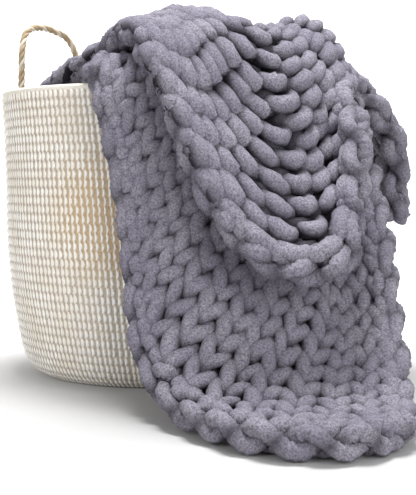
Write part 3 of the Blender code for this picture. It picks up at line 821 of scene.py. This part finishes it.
def handle_route():
    """The rope's centre line: up the inside of the wall, over in a loop, and down again."""
    inner = BASKET_RADIUS - WALL - ROPE_RADIUS - ROPE_RAISED - SEAT_GAP
    middle = math.radians(HANDLE_ANGLE)
    half = math.radians(HANDLE_HALF_ANGLE)
    outline = basket_outline()
    route = []
    for depth in (HANDLE_TUCK, HANDLE_TUCK / 2, 0):
        height = BASKET_HEIGHT - depth
        radius = inner - BASKET_RADIUS + np.interp(height, outline[:, 1], outline[:, 0])
        route.append((middle + half, radius, height))
    for _, angle_share, rise_share in HANDLE_SHAPE:
        route.append((middle + half * angle_share, inner, BASKET_HEIGHT + HANDLE_RISE * rise_share))
    mirrored = [(2 * middle - angle, radius, height) for angle, radius, height in route[::-1]]
    points = np.array([(r * math.cos(a), r * math.sin(a), z) for a, r, z in route + mirrored])
    knots = np.concatenate([[0], np.cumsum(np.linalg.norm(np.diff(points, axis=0), axis=1))])
    return curve_through(points, knots, np.linspace(0, knots[-1], ROPE_STEPS))


# %% Strands
def build_handle(name, material):
    """Three helices: the middle line plus a circle that turns once every rope turn."""
    route = handle_route()
    length = np.concatenate([[0], np.linalg.norm(np.diff(route, axis=0), axis=1).cumsum()])
    forward = unit(np.gradient(route, axis=0))
    towards = math.radians(HANDLE_ANGLE)
    outward = np.array([math.cos(towards), math.sin(towards), 0])
    side = unit(outward - forward * (forward @ outward)[:, None])
    up = np.cross(forward, side)
    phase = 2 * math.pi * (length / ROPE_TURN + np.arange(3)[:, None] / 3)
    away = ROPE_RADIUS + ROPE_RAISED - STRAND_RADIUS
    around = np.cos(phase)[..., None] * side + np.sin(phase)[..., None] * up
    paths = route + away * around
    radius = np.full(paths.shape[:2] + (STRAND_SIDES,), STRAND_RADIUS)
    points, quads, triangles = tubes(paths, around, radius, STRAND_SIDES)
    strand = np.repeat(np.arange(3), ROPE_STEPS * STRAND_SIDES)
    across = np.tile(np.arange(STRAND_SIDES) / STRAND_SIDES * STRAND_UV, 3 * ROPE_STEPS)
    along = np.tile(np.repeat(length, STRAND_SIDES), 3)
    uv = np.stack([strand + across, along / ROPE_TURN], -1)
    uv = np.concatenate([uv, np.repeat([[0, 0], [1, 0], [2, 0]], 2, axis=0)])
    return new_mesh(name, points, quads, triangles, material, uv)


def rope_fibres(tree):
    """Twisted palm fibre: two tan strands and a pale one, with 0.8 mm fibres in the bump.

    The UV map's first number counts the strands from nought, so the pale one begins just below two.
    """
    place = add_node(tree, "ShaderNodeTexCoord", {}, "Object")
    strand = add_node(tree, "ShaderNodeSeparateXYZ",
                      {"Vector": add_node(tree, "ShaderNodeTexCoord", {}, "UV")})
    fibre = add_node(tree, "ShaderNodeTexNoise", {"Vector": place, "Scale": 1 / (0.8 * MM), "Detail": 2.0})
    tan = add_node(tree, "ShaderNodeMix", {0: fibre, 6: linear("#857056"), 7: linear("#C4B292")},
                   2, data_type="RGBA")
    pale = add_node(tree, "ShaderNodeMix", {0: fibre, 6: linear("#BDB19B"), 7: linear("#E4DCCC")},
                    2, data_type="RGBA")
    third = add_node(tree, "ShaderNodeMapRange", {"Value": strand, "From Min": 1.94, "From Max": 1.98})
    colour = add_node(tree, "ShaderNodeMix", {0: third, 6: tan, 7: pale}, 2, data_type="RGBA")
    bump = add_node(tree, "ShaderNodeBump", {"Strength": 0.6, "Distance": 0.5 * MM, "Height": fibre})
    return {"Base Color": colour, "Normal": bump}


PALM_ROPE = new_finish("twisted_palm_fibre", rope_fibres, Roughness=0.85, Specular_IOR_Level=0.25)
handle = build_handle("handle_rope", PALM_ROPE)
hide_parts("handle_left")

# %% [markdown]
# ## Floor, light and camera
#
# The photograph was lit by large soft lamps in a white studio, mostly from above and a little from
# the front, on a white sweep without a horizon. One sheet that curves up behind the basket gives
# that. The lamp overhead shades the undersides and keeps the shadow close round the foot.

# %% Floor and backdrop
FLOOR_GLOW = 0.55           # painted light: the sweep glows, more so further back, so that it stays white in the picture
PAPER_FADE = (-0.25, 0.7)   # depths between which the paper goes from plain to glowing, metres
SWEEP_FRONT = -4.0          # sizes of the sweep, metres
SWEEP_BACK = 4.0
SWEEP_BEND = 1.0
SWEEP_TOP = 6.0
SWEEP_HALF_WIDTH = 8.0


def paper_tones(tree):
    """Paper that is greyer near the basket, so that shadows show, and glows further back: painted light.
    """
    place = add_node(tree, "ShaderNodeTexCoord", {}, "Object")
    depth = add_node(tree, "ShaderNodeSeparateXYZ", {"Vector": place}, "Y")
    far = add_node(tree, "ShaderNodeMapRange",
                   {"Value": depth, "From Min": PAPER_FADE[0], "From Max": PAPER_FADE[1]},
                   interpolation_type="SMOOTHSTEP")
    colour = add_node(tree, "ShaderNodeMix", {0: far, 6: linear("#BFBFBF"), 7: linear("#F6F6F6")},
                      2, data_type="RGBA")
    # Painted light: the paper glows by emission, not at all near the basket and fully further back.
    glow = add_node(tree, "ShaderNodeMix", {0: far, 6: linear("#000000"), 7: linear("#FFFFFF")},
                    2, data_type="RGBA")
    return {"Base Color": colour, "Emission Color": glow}


WHITE_PAPER = new_finish("white_paper", paper_tones, Roughness=0.9, Emission_Strength=FLOOR_GLOW)


def build_sweep():
    """A flat floor that turns up behind in a quarter circle and goes on as a wall."""
    turn = np.linspace(0, math.pi / 2, 17)
    bend = SWEEP_BEND * np.stack([np.sin(turn) - 1, 1 - np.cos(turn)], -1) + (SWEEP_BACK, 0)
    profile = np.concatenate([[(SWEEP_FRONT, 0.0)], bend, [(SWEEP_BACK, SWEEP_TOP)]])
    across = np.array([-SWEEP_HALF_WIDTH, SWEEP_HALF_WIDTH])
    both = np.repeat(profile[:, None], 2, axis=1)
    points = np.concatenate([np.tile(across, (len(profile), 1))[..., None], both], -1).reshape(-1, 3)
    index = np.arange(len(points)).reshape(-1, 2)
    faces = np.stack([index[:-1, 0], index[:-1, 1], index[1:, 1], index[1:, 0]], -1)
    mesh = bpy.data.meshes.new("studio_sweep")
    mesh.from_pydata(points.tolist(), [], faces.tolist())
    mesh.polygons.foreach_set("use_smooth", np.ones(len(faces), bool))
    mesh.materials.append(WHITE_PAPER)
    sweep = bpy.data.objects.new("studio_sweep", mesh)
    bpy.context.scene.collection.objects.link(sweep)
    print("studio_sweep", len(faces), "faces")


build_sweep()

# %% Lamps
WORLD_STRENGTH = 0.26
LAMPS = (                   # name, place, target and width in metres, power in watts
    ("key", (0.05, 0.0, 2.6), (0.05, -0.1, 0.25), 0.9, 94.0),
    ("side", (-1.6, -2.0, 1.2), (-0.1, -0.1, 0.25), 1.4, 20.0),
    ("front", (1.2, -2.2, 1.0), (0.1, -0.1, 0.2), 1.8, 41.0),
)


def add_lamp(name, place, target, size, power):
    """A square area lamp that faces its target."""
    light = bpy.data.lights.new(name, "AREA")
    light.energy = power
    light.size = size
    lamp = bpy.data.objects.new(name, light)
    aim = np.array(target) - np.array(place)
    lamp.location = place
    tilt = math.acos(-aim[2] / np.linalg.norm(aim))
    heading = math.atan2(aim[1], aim[0]) - math.pi / 2
    lamp.rotation_euler = (tilt, 0, heading)
    bpy.context.scene.collection.objects.link(lamp)
    print(name, "lamp", power, "W")


for row in LAMPS:
    add_lamp(*row)

bpy.context.scene.view_settings.view_transform = "Standard"     # so that white paper stays white

world = bpy.data.worlds.new("white_studio")
world.use_nodes = True
sky = next(node for node in world.node_tree.nodes if node.type == "BACKGROUND")
sky.inputs["Color"].default_value = (1.0, 1.0, 1.0, 1.0)
sky.inputs["Strength"].default_value = WORLD_STRENGTH
bpy.context.scene.world = world

# %% Camera
CAMERA_PLACE = (0.0, -1.55, 0.293)
CAMERA_SHIFT = (63 / 495, -75.5 / 495)      # the picture's middle is right of and below straight ahead
SENSOR_HEIGHT = 36.0
FOCAL_LENGTH = 75.0
lens = bpy.data.cameras.new("studio_camera")
lens.sensor_fit = "VERTICAL"
lens.sensor_height = SENSOR_HEIGHT
lens.lens = FOCAL_LENGTH
camera = bpy.data.objects.new("studio_camera", lens)
camera.location = CAMERA_PLACE
camera.rotation_euler = (math.radians(90), 0, 0)
lens.shift_x, lens.shift_y = CAMERA_SHIFT
bpy.context.scene.collection.objects.link(camera)
bpy.context.scene.camera = camera


bpy.context.view_layer.update()
